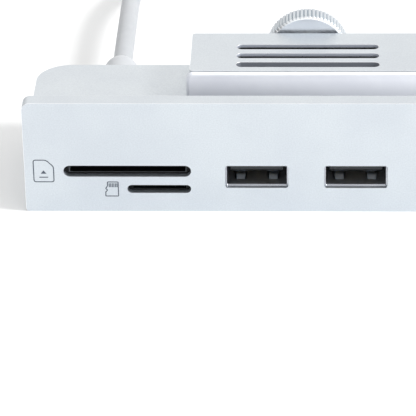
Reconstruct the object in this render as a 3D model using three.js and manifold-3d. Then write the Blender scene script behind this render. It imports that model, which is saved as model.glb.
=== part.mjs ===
// A clamp-on USB hub for the lower edge of a slim display, as an assembly of separate solids.
// Millimetres, +X to the right, +Y to the rear, +Z up. The origin is on the floor, under the hub's middle.
import * as THREE from "three";
import { mergeVertices } from "three/addons/utils/BufferGeometryUtils.js";
import Module from "manifold-3d";

// ---- Driving dimensions ----

const HUB = { width: 120, depth: 42, height: 25.8 };
const FRONT = -HUB.depth / 2;
const REAR = HUB.depth / 2;
const CONTACT_GAP = 0.1; // between neighbours that sit in each other
const FIT = 0.02; // between a piece and the seat it is pressed into
const PAST = 1; // how far a cutter runs past the face it opens
const CORNER_SEGMENTS = 10; // of a quarter turn, on the housing's big corners
const PORT_SEGMENTS = 8; // of a round end, on a port
const HEXAGON = 6; // sides of a screw's drive

const PANEL = { thickness: 3.65, topRadius: 1.8, bottomRadius: 0.7, portWall: 1.5 };
const PANEL_REAR = FRONT + PANEL.thickness;
const PANEL_POCKET = { halfWidth: 57, bottom: 2.6 }; // behind the ports

const HOUSING = { halfWidth: 59.7, rear: 16.3, top: 16.3, wall: 1.5, cornerRadius: 7.5, boss: 2.5 };
const COVER = { thickness: 1.2, gap: 0.12 };
const COVER_SCREWS = [
  [-55.6, -8],
  [55.6, -8],
  [-54.5, 9.5],
  [54.5, 9.5],
];
const SCREW = { shank: 1.0, head: 1.9, headHeight: 0.75, length: 7, driveRadius: 0.75, driveDepth: 0.6 };
const SCREW_SEAT = { sinkDepth: 0.9, rise: 0.1, tapDepth: 8.5 };

const BOARD = { halfWidth: 56, front: -19.2, rear: 12.4, bottom: 7.0, top: 8.2, bossGap: 0.3 };
const BOARD_SCREWS = [
  [-31, 9.9],
  [41, 9.9],
];
const BOARD_SCREW = { headHeight: 1.0, length: 5, tapDepth: 5 };
const BOARD_PARTS = {
  hub_chip: { x: 0.2, y: 1.5, width: 9, depth: 9, height: 1.1 },
  card_reader_chip: { x: -14, y: 0.5, width: 6, depth: 6, height: 1.0 },
  crystal: { x: 9.5, y: 3.5, width: 3.2, depth: 5, height: 1.4 },
  capacitor_1: { x: 19, y: 2, width: 4.2, depth: 3.4, height: 2.4 },
  capacitor_2: { x: 27, y: 2, width: 4.2, depth: 3.4, height: 2.4 },
  cord_header: { x: -42.2, y: 10.8, width: 9, depth: 2.4, height: 2.6 },
};

// Ports: middles across the width, and heights.
const USB_A = {
  centres: [-10.75, 10.2, 31.15],
  width: 13.3,
  height: 5.25,
  z: 8.36,
  depth: 14,
  wall: 0.3,
  radius: 0.45,
};
const USB_A_TONGUE = { width: 11.1, height: 1.85, setback: 1.3, topGap: 0.35, root: 2.2 };
const USB_C = { centre: 50.3, width: 9.0, height: 3.2, z: 8.36, depth: 8.5, wall: 0.3, setback: 0.8 };
const USB_C_TONGUE = { width: 6.7, height: 0.7, setback: 1.5, root: 1.6 };
const CARD_SLOT = { x: -38.15, z: 9.69, width: 27.05, height: 2.63 };
const MICRO_SLOT = { x: -31.45, z: 5.42, width: 13.55, height: 1.9 };
const SHELL_SETBACK = 0.75; // of a USB shell's edge behind the panel's face
const CARD_SOCKET = { left: -52.6, right: -23.6, rear: 7.4, bottom: BOARD.top, top: 11.5 };
const CARD_MOUTH = { left: -50.5, right: -25.8, rear: 5.6, bottom: 8.75, top: 10.95 };
const MICRO_SOCKET = { left: -38.6, right: -24.3, rear: -4.4, bottom: 4.2, top: BOARD.bottom };
const MICRO_MOUTH = { left: -37.1, right: -25.8, rear: -5.4, bottom: 4.7, top: 6.2 };

// Clamp block, standing on the shelf.
const BLOCK = { halfWidth: 25.4, front: -2.6, rear: 16.0, top: 24.2, radius: 0.8, roof: 0.85, side: 1.6 };
const BLOCK_CAVITY = { front: 2.6, rear: 13.8 };
const BLOCK_SLOTS = { centres: [0.53, 4.85, 9.22], halfLength: 15.45, width: 2.33, blindDepth: 1.5 };
const SLOT_TRAY = { halfWidth: 17.2, front: 2.9, rear: 11.7, floor: 22.6, thickness: 0.3, rim: 0.35 };
const BLOCK_SCREW = {
  xs: [-21.8, 21.8],
  y: 9.2,
  shank: 1.15,
  head: 2.2,
  headHeight: 1.2,
  drive: 1.0,
  length: 6,
  boss: 2.5,
};

// Screw drive of the clamp.
const AXIS = { x: 0, z: 18.9 };
const WHEEL = {
  radius: 9.05,
  front: 16.6,
  rear: REAR,
  teeth: 64,
  toothDepth: 0.24,
  stations: 3, // points round the rim, to each tooth
  chamfer: 0.5,
  recess: 0.35,
  frontLand: 1.0, // width of the rim's ring on each face
  rearLand: 2.4,
  nave: 3.4,
  recessSides: 96,
};
const THREAD = { radius: 1.6, tip: -1.6, tipChamfer: 0.5 };
const SCREW_HEAD = { radius: 3.5, sunk: 1.9, proud: 0.1, chamfer: 0.3, drive: 1.45, driveDepth: 1.1 };
const DRIVE_RELIEF = { halfWidth: 4.8, front: 11.8, depth: 2 }; // in the shelf, under the screw's rings
const BUSH = { radius: 2.5, flange: 3.1, flangeLength: 0.6 };
const WASHER = { radius: 4.2, gap: 0.05 };
const RETAINING_RING = { radius: 3.3, length: 0.6, gap: 0.1 };
const JAW = { halfWidth: 24, front: -2.95, rear: -1.45, bottom: 16.85, top: 23.0 };
const JAW_PAD = { halfWidth: 26.1, thickness: 0.9, bottom: 16.85, top: 24.15, radius: 1.0 };
const CARRIAGE = { halfWidth: 6, rear: 11.6, bottom: 16.8, top: 22.3, seated: 0.6 };
const GUIDE = { x: 15, z: 19.9, radius: 1.25, rear: 11.4, seated: 0.8 };
const SLIDE_GAP = 0.25; // round the carriage, in its window
const HEAD_ROOM = 0.2; // over the plate and the carriage
const BORE_GAP = 0.08; // radial, between a shaft and its bore

// Soft pads of the channel.
const LIP_PAD = { halfWidth: 52, thickness: 0.6, bottom: 17.4, top: 24.8 };
const SHELF_PAD = { halfWidth: 52, thickness: 0.3, front: -16.4, rear: -5.2 };
const PAD_CORNER = 1.5;

// Cord: 0.19 m from the boot to the plug.
const CORD = { x: -42.2, z: 9.3, radius: 2.2, sides: 8, steps: 46 };
const BOOT = { neck: 3.0, flange: 4.4, flangeFront: 13.3, radius: 4.0, wallGap: 0.05 };
const BOOT_DOME = { start: 28.1, rear: 30.8, baseRadius: 3.95, tipRadius: 2.45, steps: 6 };
const PLUG = { x: 42, rear: 43.6, z: 3.0, halfWidth: 5.75, halfHeight: 3.0, length: 17, radius: 2.4 };
const PLUG_RELIEF = { length: 7, tip: 2.45, base: 2.85, gap: 0.05 };
const PLUG_SHELL = { halfWidth: 4.13, halfHeight: 1.2, wall: 0.3, length: 6.6, seated: 1.95, seatDepth: 2 };
const PLUG_INSERT = { gap: 0.03, setback: 0.3, mouthHalfWidth: 3.3, mouthHalfHeight: 0.42, floor: 0.5 };

// The cord's route, chosen by hand: straight out, down to the floor, then round behind the hub.
const CORD_ROUTE = [
  [-42.2, 31.1, 9.3],
  [-42.2, 37.0, 9.3],
  [-42.2, 43.0, 9.25],
  [-42.2, 49.0, 9.17],
  [-42.2, 55.0, 9.07],
  [-42.2, 61.0, 8.92],
  [-42.2, 67.0, 8.52],
  [-42.1, 73.0, 7.85],
  [-41.4, 79.0, 7.05],
  [-39.7, 85.0, 6.1],
  [-36.9, 91.0, 5.1],
  [-32.9, 96.5, 4.1],
  [-27.6, 100.8, 3.25],
  [-21.3, 103.6, 2.62],
  [-14.4, 105.0, 2.32],
  [-6.0, 105.5, 2.25],
  [4.0, 105.5, 2.25],
  [13.0, 105.0, 2.25],
  [20.4, 103.2, 2.25],
  [27.0, 99.9, 2.25],
  [32.6, 95.1, 2.25],
  [36.9, 89.0, 2.25],
  [39.9, 82.0, 2.25],
  [41.5, 74.5, 2.3],
  [42.0, 67.0, 2.45],
  [42.0, 60.0, 2.75],
  [42.0, 55.0, 2.97],
  [42.0, 50.9, 3.0],
];

// ---- Materials ----

function finish(colour, roughness, metalness) {
  return new THREE.MeshStandardMaterial({ color: colour, roughness, metalness });
}

const aluminium = finish(0xd9e0e6, 0.42, 0.9);
const steel = finish(0xb9bcc2, 0.3, 1.0);
const brass = finish(0xc8a24c, 0.35, 1.0);
const blackPlastic = finish(0x1d1e20, 0.55, 0);
const boardGreen = finish(0x1f4a35, 0.5, 0);
const silicone = finish(0xd4d7de, 0.6, 0);
const cordJacket = finish(0xd8dce0, 0.55, 0);
const nylon = finish(0xe6e4dc, 0.5, 0);
const ceramic = finish(0xb8a184, 0.6, 0);

// ---- Solid modelling ----

const wasm = await Module();
wasm.setup();

// A closed geometry as a manifold-3d solid.
function solidOf(geometry) {
  const bare = new THREE.BufferGeometry();
  const flat = geometry.index ? geometry.toNonIndexed() : geometry;
  bare.setAttribute("position", flat.getAttribute("position"));
  const merged = mergeVertices(bare, 1e-4);
  const vertProperties = new Float32Array(merged.attributes.position.array);
  const triVerts = new Uint32Array(merged.index.array);
  return new wasm.Manifold(new wasm.Mesh({ numProp: 3, vertProperties, triVerts }));
}

// A manifold-3d solid as a geometry, with flat faces.
function geometryOf(solid) {
  const mesh = solid.getMesh();
  const geometry = new THREE.BufferGeometry();
  geometry.setAttribute("position", new THREE.BufferAttribute(new Float32Array(mesh.vertProperties), 3));
  geometry.setIndex(new THREE.BufferAttribute(new Uint32Array(mesh.triVerts), 1));
  const flat = geometry.toNonIndexed();
  flat.computeVertexNormals();
  return flat;
}

function cut(base, tools) {
  const solid = tools.reduce((left, tool) => left.subtract(solidOf(tool)), solidOf(base));
  return geometryOf(solid);
}

function join(pieces) {
  const solid = pieces.slice(1).reduce((sum, piece) => sum.add(solidOf(piece)), solidOf(pieces[0]));
  return geometryOf(solid);
}

// ---- Shapes ----

function box(x0, x1, y0, y1, z0, z1) {
  const geometry = new THREE.BoxGeometry(x1 - x0, y1 - y0, z1 - z0);
  return geometry.translate((x0 + x1) / 2, (y0 + y1) / 2, (z0 + z1) / 2);
}

// A rectangle with a radius for its two upper and its two lower corners.
function roundedRect(x0, x1, y0, y1, upper, lower) {
  const shape = new THREE.Shape();
  shape.moveTo(x0 + lower, y0);
  shape.lineTo(x1 - lower, y0);
  shape.absarc(x1 - lower, y0 + lower, lower, -Math.PI / 2, 0, false);
  shape.lineTo(x1, y1 - upper);
  shape.absarc(x1 - upper, y1 - upper, upper, 0, Math.PI / 2, false);
  shape.lineTo(x0 + upper, y1);
  shape.absarc(x0 + upper, y1 - upper, upper, Math.PI / 2, Math.PI, false);
  shape.lineTo(x0, y0 + lower);
  shape.absarc(x0 + lower, y0 + lower, lower, Math.PI, Math.PI * 1.5, false);
  return shape;
}

// A slot with round ends.
function stadium(x, y, width, height) {
  const radius = height / 2;
  const reach = width / 2 - radius;
  const shape = new THREE.Shape();
  shape.moveTo(x - reach, y - radius);
  shape.lineTo(x + reach, y - radius);
  shape.absarc(x + reach, y, radius, -Math.PI / 2, Math.PI / 2, false);
  shape.lineTo(x - reach, y + radius);
  shape.absarc(x - reach, y, radius, Math.PI / 2, Math.PI * 1.5, false);
  return shape;
}

function extrudeUp(shape, z0, z1, curveSegments = 6) {
  const geometry = new THREE.ExtrudeGeometry(shape, { depth: z1 - z0, bevelEnabled: false, curveSegments });
  return geometry.translate(0, 0, z0);
}

// The shape's x is X and its y is Z; it runs from y0 back to y1.
function extrudeBack(shape, y0, y1, curveSegments = 6) {
  const geometry = new THREE.ExtrudeGeometry(shape, { depth: y1 - y0, bevelEnabled: false, curveSegments });
  return geometry.rotateX(Math.PI / 2).translate(0, y1, 0);
}

function rodUp(radius, x, y, z0, z1, sides = 20) {
  const geometry = new THREE.CylinderGeometry(radius, radius, z1 - z0, sides);
  return geometry.rotateX(Math.PI / 2).translate(x, y, (z0 + z1) / 2);
}

function rodBack(radius, x, z, y0, y1, sides = 24) {
  return new THREE.CylinderGeometry(radius, radius, y1 - y0, sides).translate(x, (y0 + y1) / 2, z);
}

// A turned piece about a line along Y: the profile lists [radius, y] from one end of the axis to the other.
function turned(profile, x, z, sides = 24) {
  const points = profile.map(([radius, y]) => new THREE.Vector2(radius, y));
  return new THREE.LatheGeometry(points, sides).translate(x, 0, z);
}

// ---- The assembly ----

const hub = new THREE.Group();

function add(name, geometry, material, position = [0, 0, 0]) {
  const mesh = new THREE.Mesh(geometry, material);
  mesh.name = name;
  mesh.position.set(...position);
  hub.add(mesh);
}

// ---- Casing ----

function usbAOpening(centre) {
  const { width, height, z, radius } = USB_A;
  return roundedRect(centre - width / 2, centre + width / 2, z - height / 2, z + height / 2, radius, radius);
}

function frontPanel() {
  const outline = roundedRect(
    -HUB.width / 2, HUB.width / 2, 0, HUB.height, PANEL.topRadius, PANEL.bottomRadius,
  );
  const pocketFront = FRONT + PANEL.portWall;
  const { halfWidth, bottom } = PANEL_POCKET;
  const pocket = box(
    -halfWidth, halfWidth, pocketFront, PANEL_REAR + PAST, bottom, HOUSING.top - HOUSING.wall,
  );
  const openings = [
    stadium(CARD_SLOT.x, CARD_SLOT.z, CARD_SLOT.width, CARD_SLOT.height),
    stadium(MICRO_SLOT.x, MICRO_SLOT.z, MICRO_SLOT.width, MICRO_SLOT.height),
    stadium(USB_C.centre, USB_C.z, USB_C.width, USB_C.height),
    ...USB_A.centres.map(usbAOpening),
  ];
  const cutters = openings.map((shape) =>
    extrudeBack(shape, FRONT - PAST, pocketFront + PAST, PORT_SEGMENTS),
  );
  return cut(extrudeBack(outline, FRONT, PANEL_REAR), [pocket, ...cutters]);
}

// The housing's outline in plan: square at the panel, round at the rear.
function housingPlan(inset, radius) {
  const side = HOUSING.halfWidth - inset;
  const rear = HOUSING.rear - inset;
  const shape = new THREE.Shape();
  shape.moveTo(-side, PANEL_REAR);
  shape.lineTo(side, PANEL_REAR);
  shape.lineTo(side, rear - radius);
  shape.absarc(side - radius, rear - radius, radius, 0, Math.PI / 2, false);
  shape.lineTo(-side + radius, rear);
  shape.absarc(-side + radius, rear - radius, radius, Math.PI / 2, Math.PI, false);
  return shape;
}

function rearHousing() {
  const { halfWidth, wall, top, rear, cornerRadius, boss } = HOUSING;
  const roofUnderside = top - wall;
  const shell = extrudeUp(housingPlan(0, cornerRadius), 0, top, CORNER_SEGMENTS);
  const inside = extrudeUp(housingPlan(wall, cornerRadius - wall), -PAST, roofUnderside, CORNER_SEGMENTS);
  const openFront = box(
    -halfWidth + wall, halfWidth - wall, PANEL_REAR - PAST, PANEL_REAR + PAST, -PAST, roofUnderside,
  );
  const hollow = cut(shell, [inside, openFront]);
  const intoRoof = top - wall / 2;
  const bosses = COVER_SCREWS.map(([x, y]) => rodUp(boss, x, y, COVER.thickness + COVER.gap, intoRoof));
  const boardBosses = BOARD_SCREWS.map(([x, y]) => rodUp(boss, x, y, BOARD.top, intoRoof));
  const bore = SCREW.shank + CONTACT_GAP;
  const tapped = COVER_SCREWS.map(([x, y]) => rodUp(bore, x, y, 0, SCREW_SEAT.tapDepth));
  const boardTapped = BOARD_SCREWS.map(([x, y]) => rodUp(bore, x, y, 0, BOARD.top + BOARD_SCREW.tapDepth));
  const cordHole = rodBack(BOOT.neck + CONTACT_GAP, CORD.x, CORD.z, rear - 2 * wall, rear + PAST);
  const blockBore = BLOCK_SCREW.shank + CONTACT_GAP;
  const screwHoles = BLOCK_SCREW.xs.map((x) =>
    rodUp(blockBore, x, BLOCK_SCREW.y, roofUnderside - PAST, top + PAST),
  );
  const relief = DRIVE_RELIEF;
  const driveRelief = box(
    -relief.halfWidth, relief.halfWidth, relief.front, rear + PAST, top - relief.depth, top + PAST,
  );
  const holes = [...tapped, ...boardTapped, cordHole, ...screwHoles, driveRelief];
  return cut(join([hollow, ...bosses, ...boardBosses]), holes);
}

function bottomCover() {
  const inset = HOUSING.wall + COVER.gap;
  const over = COVER.thickness + PAST;
  const outline = housingPlan(inset, HOUSING.cornerRadius - inset);
  const plate = extrudeUp(outline, 0, COVER.thickness, CORNER_SEGMENTS);
  const holes = COVER_SCREWS.map(([x, y]) => rodUp(SCREW.shank + CONTACT_GAP, x, y, -PAST, over));
  const sinks = COVER_SCREWS.map(([x, y]) =>
    rodUp(SCREW.head + CONTACT_GAP, x, y, -PAST, SCREW_SEAT.sinkDepth),
  );
  const frontRelief = box(
    -HOUSING.halfWidth, HOUSING.halfWidth, PANEL_REAR - PAST, PANEL_REAR + COVER.gap, -PAST, over,
  );
  return cut(plate, [...holes, ...sinks, frontRelief]);
}

// A small screw, head down, with a hexagonal drive.
function screwUp(headHeight, length) {
  const head = rodUp(SCREW.head, 0, 0, 0, headHeight);
  const shank = rodUp(SCREW.shank, 0, 0, headHeight - CONTACT_GAP, length);
  const drive = rodUp(SCREW.driveRadius, 0, 0, -PAST, SCREW.driveDepth, HEXAGON);
  return cut(join([head, shank]), [drive]);
}

add("front_panel", frontPanel(), aluminium);
add("rear_housing", rearHousing(), aluminium);
add("bottom_cover", bottomCover(), aluminium);
COVER_SCREWS.forEach(([x, y], i) => {
  const screw = screwUp(SCREW.headHeight, SCREW.length);
  add(`cover_screw_${i + 1}`, screw, steel, [x, y, SCREW_SEAT.rise]);
});

// ---- Board and what it carries ----

function mainBoard() {
  const below = BOARD.bottom - PAST;
  const above = BOARD.top + PAST;
  const plate = box(-BOARD.halfWidth, BOARD.halfWidth, BOARD.front, BOARD.rear, BOARD.bottom, BOARD.top);
  const notch = (port, centre, setback) => {
    const half = port.width / 2 + CONTACT_GAP;
    const rear = FRONT + setback + port.depth + CONTACT_GAP;
    return box(centre - half, centre + half, BOARD.front - PAST, rear, below, above);
  };
  const notches = USB_A.centres.map((x) => notch(USB_A, x, SHELL_SETBACK));
  const notchC = notch(USB_C, USB_C.centre, USB_C.setback);
  const bossGaps = COVER_SCREWS.map(([x, y]) => rodUp(HOUSING.boss + BOARD.bossGap, x, y, below, above));
  const screwHoles = BOARD_SCREWS.map(([x, y]) => rodUp(SCREW.shank + CONTACT_GAP, x, y, below, above));
  return cut(plate, [...notches, notchC, ...bossGaps, ...screwHoles]);
}

add("main_board", mainBoard(), boardGreen);
BOARD_SCREWS.forEach(([x, y], i) => {
  const { headHeight, length } = BOARD_SCREW;
  const seat = BOARD.bottom - headHeight - FIT;
  add(`board_screw_${i + 1}`, screwUp(headHeight, length), steel, [x, y, seat]);
});

function boardPart(name, material) {
  const { x, y, width, depth, height } = BOARD_PARTS[name];
  const body = box(
    x - width / 2, x + width / 2, y - depth / 2, y + depth / 2, BOARD.top, BOARD.top + height,
  );
  add(name, body, material);
}

boardPart("hub_chip", blackPlastic);
boardPart("card_reader_chip", blackPlastic);
boardPart("crystal", steel);
boardPart("capacitor_1", ceramic);
boardPart("capacitor_2", ceramic);
boardPart("cord_header", nylon);

// USB-A: a steel shell in the panel's opening, with the contact tongue under its roof.
function usbAShell() {
  const { width, height, z, depth, wall, radius } = USB_A;
  const half = (width - CONTACT_GAP) / 2;
  const rise = (height - CONTACT_GAP) / 2;
  const front = FRONT + SHELL_SETBACK;
  const outline = roundedRect(-half, half, z - rise, z + rise, radius, radius);
  const inner = box(
    -half + wall, half - wall, front - PAST, front + depth - wall, z - rise + wall, z + rise - wall,
  );
  return cut(extrudeBack(outline, front, front + depth), [inner]);
}

function usbATongue() {
  const { z, height, depth, wall, width } = USB_A;
  const rise = (height - CONTACT_GAP) / 2 - wall - FIT;
  const half = (width - CONTACT_GAP) / 2 - wall - FIT;
  const front = FRONT + USB_A_TONGUE.setback;
  const rear = FRONT + SHELL_SETBACK + depth - wall - FIT;
  const top = z + rise - USB_A_TONGUE.topGap;
  const tongue = box(
    -USB_A_TONGUE.width / 2, USB_A_TONGUE.width / 2, front, rear, top - USB_A_TONGUE.height, top,
  );
  return join([tongue, box(-half, half, rear - USB_A_TONGUE.root, rear, z - rise, z + rise)]);
}

USB_A.centres.forEach((x, i) => {
  add(`usb_a_shell_${i + 1}`, usbAShell(), steel, [x, 0, 0]);
  add(`usb_a_tongue_${i + 1}`, usbATongue(), blackPlastic, [x, 0, 0]);
});

function usbCShell() {
  const { width, height, z, depth, wall, setback, centre } = USB_C;
  const outerWidth = width - CONTACT_GAP;
  const outerHeight = height - CONTACT_GAP;
  const front = FRONT + setback;
  const outer = extrudeBack(stadium(centre, z, outerWidth, outerHeight), front, front + depth, PORT_SEGMENTS);
  const bore = stadium(centre, z, outerWidth - 2 * wall, outerHeight - 2 * wall);
  return cut(outer, [extrudeBack(bore, front - PAST, front + depth - wall, PORT_SEGMENTS)]);
}

function usbCTongue() {
  const { z, depth, wall, setback, centre, width, height } = USB_C;
  const rear = FRONT + setback + depth - wall - FIT;
  const half = USB_C_TONGUE.width / 2;
  const rise = USB_C_TONGUE.height / 2;
  const blade = box(centre - half, centre + half, FRONT + USB_C_TONGUE.setback, rear, z - rise, z + rise);
  const slack = CONTACT_GAP + 2 * wall + 3 * FIT;
  const root = stadium(centre, z, width - slack, height - slack);
  return join([blade, extrudeBack(root, rear - USB_C_TONGUE.root, rear)]);
}

add("usb_c_shell", usbCShell(), steel);
add("usb_c_tongue", usbCTongue(), blackPlastic);

// A card socket: a box with a mouth towards the panel.
function socket(body, mouth) {
  const front = FRONT + PANEL.portWall + CONTACT_GAP;
  const housing = box(body.left, body.right, front, body.rear, body.bottom, body.top);
  const opening = box(mouth.left, mouth.right, front - PAST, mouth.rear, mouth.bottom, mouth.top);
  return cut(housing, [opening]);
}

add("card_socket", socket(CARD_SOCKET, CARD_MOUTH), blackPlastic);
add("micro_card_socket", socket(MICRO_SOCKET, MICRO_MOUTH), blackPlastic);

// ---- Clamp block ----

function clampBlock() {
  const { halfWidth, front, rear, top, radius, roof, side } = BLOCK;
  const base = HOUSING.top;
  const outline = roundedRect(-halfWidth, halfWidth, front, rear, radius, radius);
  const body = extrudeUp(outline, base, top);
  const cavity = box(
    -halfWidth + side, halfWidth - side, BLOCK_CAVITY.front, BLOCK_CAVITY.rear, base - PAST, top - roof,
  );
  const plateHalf = JAW.halfWidth + SLIDE_GAP;
  const plateRecess = box(
    -plateHalf, plateHalf, front - PAST, JAW.rear + SLIDE_GAP, base - PAST, JAW.top + HEAD_ROOM,
  );
  const windowHalf = CARRIAGE.halfWidth + SLIDE_GAP;
  const window = box(
    -windowHalf, windowHalf, front - PAST, BLOCK_CAVITY.front + PAST, base - PAST, CARRIAGE.top + HEAD_ROOM,
  );
  const [blindSlot, ...throughSlots] = BLOCK_SLOTS.centres;
  const slotAt = (y) => stadium(0, y, 2 * BLOCK_SLOTS.halfLength, BLOCK_SLOTS.width);
  const slots = throughSlots.map((y) => extrudeUp(slotAt(y), top - roof - PAST, top + PAST));
  const blind = extrudeUp(slotAt(blindSlot), top - BLOCK_SLOTS.blindDepth, top + PAST);
  const guideBore = GUIDE.radius + BORE_GAP;
  const guides = [-1, 1].map((hand) =>
    rodBack(guideBore, hand * GUIDE.x, GUIDE.z, front - PAST, BLOCK_CAVITY.front + PAST),
  );
  const bushSeat = rodBack(BUSH.radius + FIT, AXIS.x, AXIS.z, BLOCK_CAVITY.rear - PAST, rear + PAST);
  const hollow = cut(body, [cavity, plateRecess, window, ...slots, blind, ...guides, bushSeat]);
  const { xs, y: screwY, shank, boss } = BLOCK_SCREW;
  const bosses = xs.map((x) => rodUp(boss, x, screwY, base, top - roof / 2));
  const tapped = xs.map((x) => rodUp(shank + CONTACT_GAP, x, screwY, base - PAST, top - 2 * roof));
  return cut(join([hollow, ...bosses]), tapped);
}

function blockScrew() {
  const { shank, head, headHeight, drive, length } = BLOCK_SCREW;
  const cap = rodUp(head, 0, 0, -headHeight, 0);
  const stem = rodUp(shank, 0, 0, -CONTACT_GAP, length);
  const socketCut = rodUp(drive, 0, 0, -headHeight - PAST, -headHeight / 2, HEXAGON);
  return cut(join([cap, stem]), [socketCut]);
}

// A shallow tray under the through slots, pressed up against the block's roof.
function slotTray() {
  const { halfWidth, front, rear, floor, thickness, rim } = SLOT_TRAY;
  const top = BLOCK.top - BLOCK.roof - FIT;
  const body = box(-halfWidth, halfWidth, front, rear, floor, top);
  const well = box(
    -halfWidth + rim, halfWidth - rim, front + rim, rear - rim, floor + thickness, top + PAST,
  );
  return cut(body, [well]);
}

add("clamp_block", clampBlock(), aluminium);
add("slot_tray", slotTray(), blackPlastic);
BLOCK_SCREW.xs.forEach((x, i) => {
  const headTop = HOUSING.top - HOUSING.wall - FIT;
  add(`block_screw_${i + 1}`, blockScrew(), steel, [x, BLOCK_SCREW.y, headTop]);
});

function screwBush() {
  const { radius, flange, flangeLength } = BUSH;
  const inner = BLOCK_CAVITY.rear;
  const bore = THREAD.radius + BORE_GAP;
  const profile = [
    [bore, inner - flangeLength],
    [flange, inner - flangeLength],
    [flange, inner - FIT],
    [radius, inner - FIT],
    [radius, BLOCK.rear],
    [bore, BLOCK.rear],
    [bore, inner - flangeLength],
  ];
  return turned(profile, AXIS.x, AXIS.z);
}

add("screw_bush", screwBush(), brass);

function lipPad() {
  const { halfWidth, thickness, bottom, top } = LIP_PAD;
  const outline = roundedRect(-halfWidth, halfWidth, bottom, top, PAD_CORNER, PAD_CORNER);
  return extrudeBack(outline, PANEL_REAR, PANEL_REAR + thickness);
}

function shelfPad() {
  const { halfWidth, thickness, front, rear } = SHELF_PAD;
  const outline = roundedRect(-halfWidth, halfWidth, front, rear, PAD_CORNER, PAD_CORNER);
  return extrudeUp(outline, HOUSING.top, HOUSING.top + thickness);
}

add("lip_pad", lipPad(), silicone);
add("shelf_pad", shelfPad(), silicone);

// ---- Thumb wheel and its screw ----

// A turned geometry whose rim is grooved: every third station round it dips, one groove to each tooth.
function knurled(geometry, rim) {
  const position = geometry.getAttribute("position");
  const step = (2 * Math.PI) / (WHEEL.teeth * WHEEL.stations);
  for (let i = 0; i < position.count; i += 1) {
    const x = position.getX(i);
    const z = position.getZ(i);
    const radius = Math.hypot(x, z);
    const station = Math.round(Math.atan2(x, z) / step);
    if (radius > rim - FIT && station % WHEEL.stations === 0) {
      const dip = (rim - WHEEL.toothDepth) / radius;
      position.setXYZ(i, x * dip, position.getY(i), z * dip);
    }
  }
  return geometry;
}

function thumbWheel() {
  const { radius, front, rear, chamfer, recess, teeth, stations } = WHEEL;
  const { frontLand, rearLand, nave, recessSides } = WHEEL;
  const { x, z } = AXIS;
  const profile = [
    [0, front],
    [radius - chamfer, front],
    [radius, front + chamfer],
    [radius, rear - chamfer],
    [radius - chamfer, rear],
    [0, rear],
  ];
  const body = knurled(turned(profile, 0, 0, teeth * stations), radius).translate(x, 0, z);
  const frontRecess = rodBack(radius - frontLand, x, z, front - PAST, front + recess, recessSides);
  const rearRecess = rodBack(radius - rearLand, x, z, rear - recess, rear + PAST, recessSides);
  const frontNave = rodBack(nave, x, z, front, front + recess + CONTACT_GAP);
  const bore = rodBack(THREAD.radius + CONTACT_GAP, x, z, front - PAST, rear + PAST);
  const headSeat = rodBack(SCREW_HEAD.radius + CONTACT_GAP, x, z, rear - SCREW_HEAD.sunk, rear + PAST);
  const recessed = cut(body, [frontRecess, rearRecess]);
  return cut(join([recessed, frontNave]), [bore, headSeat]);
}

function clampScrew() {
  const { radius: head, sunk, proud, chamfer, drive, driveDepth } = SCREW_HEAD;
  const { radius, tip, tipChamfer } = THREAD;
  const headFront = WHEEL.rear - sunk + proud / 2;
  const headRear = WHEEL.rear - proud;
  const profile = [
    [0, tip],
    [radius - tipChamfer, tip],
    [radius, tip + tipChamfer],
    [radius, headFront],
    [head, headFront],
    [head, headRear - chamfer],
    [head - chamfer, headRear],
    [0, headRear],
  ];
  const socketCut = rodBack(drive, AXIS.x, AXIS.z, headRear - driveDepth, headRear + PAST, HEXAGON);
  return cut(turned(profile, AXIS.x, AXIS.z), [socketCut]);
}

// A flat ring round the screw.
function ring(inner, outer, y0, y1) {
  const profile = [
    [inner, y0],
    [outer, y0],
    [outer, y1],
    [inner, y1],
    [inner, y0],
  ];
  return turned(profile, AXIS.x, AXIS.z);
}

function thrustWasher() {
  const { radius, gap } = WASHER;
  return ring(THREAD.radius + CONTACT_GAP, radius, BLOCK.rear + gap, WHEEL.front - gap);
}

function retainingRing() {
  const { radius, length, gap } = RETAINING_RING;
  const rear = BLOCK_CAVITY.rear - BUSH.flangeLength - gap;
  return ring(THREAD.radius + FIT, radius, rear - length, rear);
}

add("thumb_wheel", thumbWheel(), aluminium);
add("clamp_screw", clampScrew(), steel);
add("thrust_washer", thrustWasher(), nylon);
add("retaining_ring", retainingRing(), steel);

// ---- Jaw ----

function jawPlate() {
  const { halfWidth, front, rear, bottom, top } = JAW;
  const plate = box(-halfWidth, halfWidth, front, rear, bottom, top);
  const seatHalf = CARRIAGE.halfWidth + FIT;
  const carriageSeat = box(
    -seatHalf, seatHalf, rear - CARRIAGE.seated, rear + PAST, bottom - PAST, CARRIAGE.top + FIT,
  );
  const pinSeats = [-1, 1].map((hand) =>
    rodBack(GUIDE.radius + FIT, hand * GUIDE.x, GUIDE.z, rear - GUIDE.seated, rear + PAST),
  );
  return cut(plate, [carriageSeat, ...pinSeats]);
}

function jawCarriage() {
  const { halfWidth, rear, bottom, top, seated } = CARRIAGE;
  const bar = box(-halfWidth, halfWidth, JAW.rear - seated + FIT, rear, bottom, top);
  return cut(bar, [rodBack(THREAD.radius + BORE_GAP, AXIS.x, AXIS.z, JAW.rear - PAST, rear + PAST)]);
}

function jawPad() {
  const { halfWidth, thickness, bottom, top, radius } = JAW_PAD;
  const outline = roundedRect(-halfWidth, halfWidth, bottom, top, radius, radius);
  return extrudeBack(outline, JAW.front - thickness, JAW.front);
}

add("jaw_plate", jawPlate(), steel);
add("jaw_carriage", jawCarriage(), brass);
add("jaw_pad", jawPad(), silicone);
[-1, 1].forEach((hand, i) => {
  const seat = JAW.rear - GUIDE.seated + FIT;
  add(`guide_pin_${i + 1}`, rodBack(GUIDE.radius, hand * GUIDE.x, GUIDE.z, seat, GUIDE.rear), steel);
});

// ---- Cord and plug ----

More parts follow.
